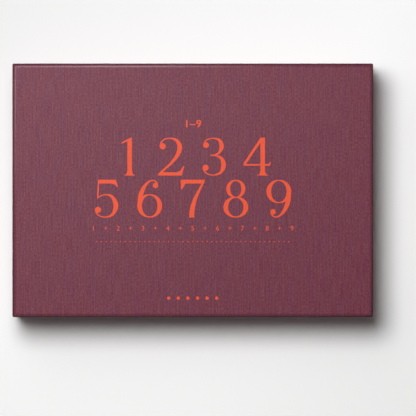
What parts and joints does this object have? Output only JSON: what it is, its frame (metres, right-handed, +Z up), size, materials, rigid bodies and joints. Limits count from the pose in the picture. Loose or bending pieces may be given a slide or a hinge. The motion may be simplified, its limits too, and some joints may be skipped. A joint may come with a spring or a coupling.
{
  "type": "shut the box game",
  "caption": "Cloth-covered game box with a lift-off lid over a wooden tray of number tiles that flip on a rod, with dice in wells and a booklet.",
  "frame": {"origin": "middle of the underside, on the plane that the closed box stands on", "axes": "+X to the right along the long side, +Y to the back of the lid's face, where the tiles are, +Z up"},
  "size_m": [0.31, 0.218, 0.048],
  "materials": {
    "book_cloth": "ribbed burgundy book cloth, matt",
    "greyboard": "bare grey board",
    "kraft_tape": "gummed kraft paper tape",
    "lining_paper": "uncoated cream paper",
    "infill_paper": "uncoated paper",
    "underside_paper": "uncoated dark red-brown paper",
    "beech_plywood": "beech-faced plywood, satin varnish",
    "beech_rail_x": "beech, satin varnish",
    "beech_rail_y": "beech, satin varnish",
    "dowel_end_grain": "beech end grain",
    "felt": "burgundy wool felt",
    "steel_rod": "drawn steel",
    "steel_washers": "stamped steel",
    "tile_wood": "beech, satin varnish",
    "dice_wood": "pale hardwood, satin varnish",
    "booklet_card": "uncoated burgundy card",
    "booklet_paper": "uncoated paper",
    "staple_wire": "zinc-plated wire"
  },
  "bodies": {
    "base": {"base_cover": "book_cloth", "base_board": "greyboard", "base_corner_tapes": "kraft_tape", "base_infill": "infill_paper", "base_underside_paper": "underside_paper", "base_lining": "lining_paper", "tray_floor": "beech_plywood", "front_rail": "beech_rail_x", "back_rail": "beech_rail_x", "left_rail": "beech_rail_y", "right_rail": "beech_rail_y", "tray_dowels": "dowel_end_grain", "dice_shelf": "beech_rail_x", "die_well_pads": "felt", "arena_felt": "felt", "tile_bay_felt": "felt", "tile_rest": "beech_rail_x", "pivot_rod": "steel_rod", "rod_washers": "steel_washers"},
    "lid": {"lid_cover": "book_cloth", "lid_board": "greyboard", "lid_corner_tapes": "kraft_tape", "lid_lining": "lining_paper"},
    "tile_1": {"tile_1": "tile_wood"},
    "tile_2": {"tile_2": "tile_wood"},
    "tile_3": {"tile_3": "tile_wood"},
    "tile_4": {"tile_4": "tile_wood"},
    "tile_5": {"tile_5": "tile_wood"},
    "tile_6": {"tile_6": "tile_wood"},
    "tile_7": {"tile_7": "tile_wood"},
    "tile_8": {"tile_8": "tile_wood"},
    "tile_9": {"tile_9": "tile_wood"},
    "die_1": {"die_1": "dice_wood"},
    "die_2": {"die_2": "dice_wood"},
    "booklet": {"booklet_cover": "booklet_card", "booklet_pages": "booklet_paper", "booklet_staples": "staple_wire"}
  },
  "joints": [
    {"name": "lid_lift", "type": "slide", "parent": "base", "child": "lid", "axis": [0, 0, 1], "range_m": [0, 0.15]},
    {"name": "tile_1_flip", "type": "hinge", "parent": "base", "child": "tile_1", "pos_m": [-0.12231, 0.08065, 0.0122], "axis": [-1, 0, 0], "range_deg": [0, 108]},
    {"name": "tile_2_flip", "type": "hinge", "parent": "base", "child": "tile_2", "pos_m": [-0.09173, 0.08065, 0.0122], "axis": [-1, 0, 0], "range_deg": [0, 108]},
    {"name": "tile_3_flip", "type": "hinge", "parent": "base", "child": "tile_3", "pos_m": [-0.06116, 0.08065, 0.0122], "axis": [-1, 0, 0], "range_deg": [0, 108]},
    {"name": "tile_4_flip", "type": "hinge", "parent": "base", "child": "tile_4", "pos_m": [-0.03058, 0.08065, 0.0122], "axis": [-1, 0, 0], "range_deg": [0, 108]},
    {"name": "tile_5_flip", "type": "hinge", "parent": "base", "child": "tile_5", "pos_m": [0, 0.08065, 0.0122], "axis": [-1, 0, 0], "range_deg": [0, 108]},
    {"name": "tile_6_flip", "type": "hinge", "parent": "base", "child": "tile_6", "pos_m": [0.03058, 0.08065, 0.0122], "axis": [-1, 0, 0], "range_deg": [0, 108]},
    {"name": "tile_7_flip", "type": "hinge", "parent": "base", "child": "tile_7", "pos_m": [0.06116, 0.08065, 0.0122], "axis": [-1, 0, 0], "range_deg": [0, 108]},
    {"name": "tile_8_flip", "type": "hinge", "parent": "base", "child": "tile_8", "pos_m": [0.09173, 0.08065, 0.0122], "axis": [-1, 0, 0], "range_deg": [0, 108]},
    {"name": "tile_9_flip", "type": "hinge", "parent": "base", "child": "tile_9", "pos_m": [0.12231, 0.08065, 0.0122], "axis": [-1, 0, 0], "range_deg": [0, 108]},
    {"name": "die_1_lift", "type": "slide", "parent": "base", "child": "die_1", "axis": [0, 0, 1], "range_m": [0, 0.015]},
    {"name": "die_2_lift", "type": "slide", "parent": "base", "child": "die_2", "axis": [0, 0, 1], "range_m": [0, 0.015]},
    {"name": "booklet_lift", "type": "slide", "parent": "base", "child": "booklet", "axis": [0, 0, 1], "range_m": [0, 0.03]}
  ]
}
